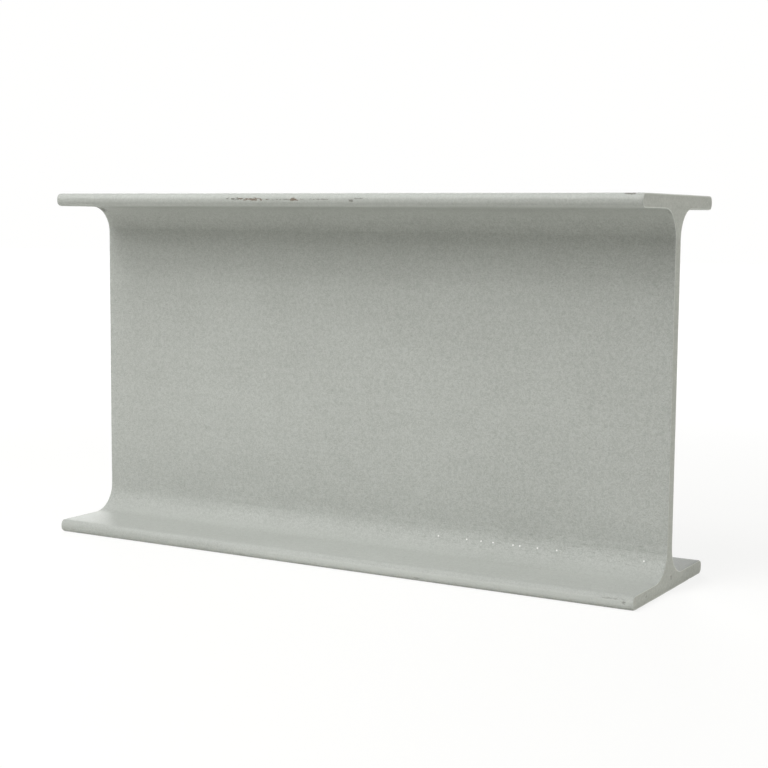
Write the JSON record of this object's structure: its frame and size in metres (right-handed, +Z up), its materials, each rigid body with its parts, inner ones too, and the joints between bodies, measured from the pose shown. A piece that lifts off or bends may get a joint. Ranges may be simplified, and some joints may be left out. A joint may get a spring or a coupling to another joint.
{
  "type": "fiberglass i-beam",
  "caption": "Pultruded fiberglass I-beam offcut: equal flanges on a thin web with large inner fillets, for framing, joists and bracing.",
  "frame": {"origin": "centre of the outer face of the bottom flange, midway between the two sawn ends; the beam stands on that face at Z = 0", "axes": "+X along the beam, +Y across the flanges, through the web's thickness, +Z up the web, from the bottom flange to the top flange"},
  "size_m": [0.4572, 0.127, 0.254],
  "materials": {
    "pultruded_frp": "matt light gray resin with a faint fibrous veil texture"
  },
  "bodies": {
    "root": {"i_beam": "pultruded_frp"}
  },
  "joints": []
}
